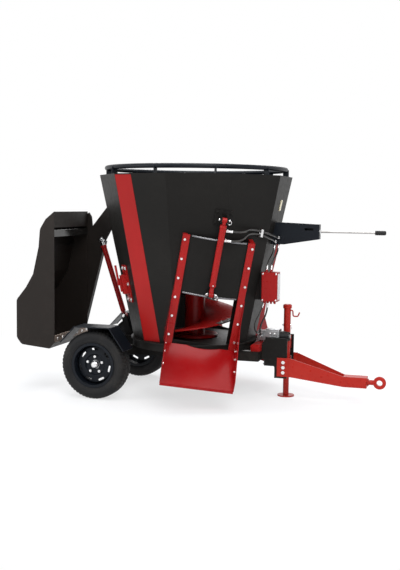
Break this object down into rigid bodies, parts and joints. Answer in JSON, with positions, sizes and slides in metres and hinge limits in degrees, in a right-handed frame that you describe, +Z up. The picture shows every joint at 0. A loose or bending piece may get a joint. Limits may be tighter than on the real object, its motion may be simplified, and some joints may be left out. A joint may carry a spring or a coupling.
{
  "type": "vertical feed mixer",
  "caption": "Trailed feed mixer: flared faceted tub with a standing auger, sliding side doors with chutes, a rear loading bucket on a lift arm, a wheeled axle and a drawbar with a swivel eye.",
  "frame": {"origin": "on the ground, in the middle of the machine's length and width", "axes": "+X forwards to the tow eye, +Y to the left, +Z up"},
  "size_m": [3.32, 2.0078, 2.0299],
  "materials": {
    "black_paint": "satin black paint",
    "red_paint": "glossy red paint",
    "rim_black": "satin black paint",
    "zinc": "bright zinc plating",
    "chrome_rod": "polished",
    "cast_aluminium": "as cast",
    "bare_steel": "machined",
    "tyre_rubber": "matte",
    "hose_rubber": "satin",
    "black_plastic": "matte"
  },
  "bodies": {
    "machine": {"arm_bracket": "black_paint", "axle_beam": "black_paint", "barrel_brackets": "black_paint", "box_bracket": "black_paint", "box_hoses": "hose_rubber", "chassis_frame": "black_paint", "chute_left": "red_paint", "chute_right": "red_paint", "control_beam": "black_paint", "control_box": "red_paint", "door_barrel_left": "red_paint", "door_barrel_right": "red_paint", "door_hoses": "hose_rubber", "door_rails": "red_paint", "drawbar": "red_paint", "drawbar_bolts": "zinc", "fenders": "black_paint", "hitch_plates": "black_paint", "hose_clamps": "zinc", "hose_hook": "red_paint", "hydraulic_pump": "cast_aluminium", "jack_sleeve": "red_paint", "knife_guide": "red_paint", "lift_bracket": "black_paint", "main_gearbox": "black_paint", "pto_shield": "black_plastic", "rail_bolts": "zinc", "shaft_guard": "red_paint", "top_rail": "black_paint", "transfer_case": "cast_aluminium", "tub_floor": "black_paint", "tub_shell": "black_paint"},
    "wheel_right": {"wheel_tyre_right": "tyre_rubber", "wheel_rim_right": "rim_black", "wheel_hub_right": "zinc", "wheel_nuts_right": "zinc"},
    "wheel_left": {"wheel_tyre_left": "tyre_rubber", "wheel_rim_left": "rim_black", "wheel_hub_left": "zinc", "wheel_nuts_left": "zinc"},
    "swivel_eye": {"tow_eye": "red_paint"},
    "auger": {"auger_tube": "red_paint", "auger_flight": "red_paint", "auger_knives": "bare_steel", "crown_gear": "bare_steel"},
    "drive_line": {"drive_shaft": "bare_steel"},
    "pto_input": {"pto_shaft": "bare_steel"},
    "door_right": {"door_panel_right": "black_paint", "door_rod_right": "chrome_rod"},
    "door_left": {"door_panel_left": "black_paint", "door_rod_left": "chrome_rod"},
    "bucket": {"bucket_arm": "black_paint", "bucket_shell": "black_paint", "bucket_beam": "black_paint"},
    "lift_cylinder": {"lift_barrel": "red_paint"},
    "lift_piston_rod": {"lift_rod": "chrome_rod"},
    "jack": {"jack_leg": "red_paint"},
    "lever": {"control_lever": "chrome_rod", "lever_knob": "black_plastic"},
    "counter_knife": {"knife_blade": "bare_steel"}
  },
  "joints": [
    {"name": "wheel_right_spin", "type": "hinge", "parent": "machine", "child": "wheel_right", "pos_m": [-0.79, -0.55, 0.298], "axis": [0, 1, 0], "continuous": true},
    {"name": "wheel_left_spin", "type": "hinge", "parent": "machine", "child": "wheel_left", "pos_m": [-0.79, 0.55, 0.298], "axis": [0, 1, 0], "continuous": true},
    {"name": "tow_eye_swivel", "type": "hinge", "parent": "machine", "child": "swivel_eye", "pos_m": [1.44, 0, 0.19], "axis": [1, 0, 0], "continuous": true},
    {"name": "auger_spin", "type": "hinge", "parent": "machine", "child": "auger", "pos_m": [-0.06, 0, 0.512], "axis": [0, 0, 1], "continuous": true},
    {"name": "drive_shaft_spin", "type": "hinge", "parent": "machine", "child": "drive_line", "pos_m": [0.34, 0, 0.41], "axis": [1, 0, 0], "continuous": true},
    {"name": "pto_spin", "type": "hinge", "parent": "machine", "child": "pto_input", "pos_m": [0.74, 0, 0.55], "axis": [1, 0, 0], "continuous": true},
    {"name": "door_right_slide", "type": "slide", "parent": "machine", "child": "door_right", "axis": [-0.2038, 0.1328, -0.97], "range_m": [0, 0.4]},
    {"name": "door_left_slide", "type": "slide", "parent": "machine", "child": "door_left", "axis": [-0.2038, -0.1328, -0.97], "range_m": [0, 0.4]},
    {"name": "bucket_lift", "type": "hinge", "parent": "machine", "child": "bucket", "pos_m": [-0.9, 0.378, 1.8], "axis": [0, 1, 0], "range_deg": [0, 70]},
    {"name": "lift_cylinder_swing", "type": "hinge", "parent": "machine", "child": "lift_cylinder", "pos_m": [-0.878, 0.345, 0.62], "axis": [0, 1, 0], "range_deg": [-6, 1]},
    {"name": "lift_rod_stroke", "type": "slide", "parent": "lift_cylinder", "child": "lift_piston_rod", "axis": [-0.3147, 0, 0.9492], "range_m": [0, 0.57]},
    {"name": "jack_retract", "type": "slide", "parent": "machine", "child": "jack", "axis": [0, 0, 1], "range_m": [0, 0.18]},
    {"name": "lever_pull", "type": "slide", "parent": "machine", "child": "lever", "axis": [1, 0, 0], "range_m": [-0.03, 0.03], "stiffness_N_per_m": 400},
    {"name": "knife_slide", "type": "slide", "parent": "machine", "child": "counter_knife", "axis": [-0.7925, -0.5758, -0.201], "range_m": [0, 0.14]}
  ],
  "couplings": [
    {"joint": "drive_shaft_spin", "follows": "auger_spin", "ratio": -5},
    {"joint": "pto_spin", "follows": "auger_spin", "ratio": 10},
    {"joint": "lift_cylinder_swing", "follows": "bucket_lift", "ratio": -0.06476},
    {"joint": "lift_rod_stroke", "follows": "bucket_lift", "m_per_rad": 0.46571}
  ]
}
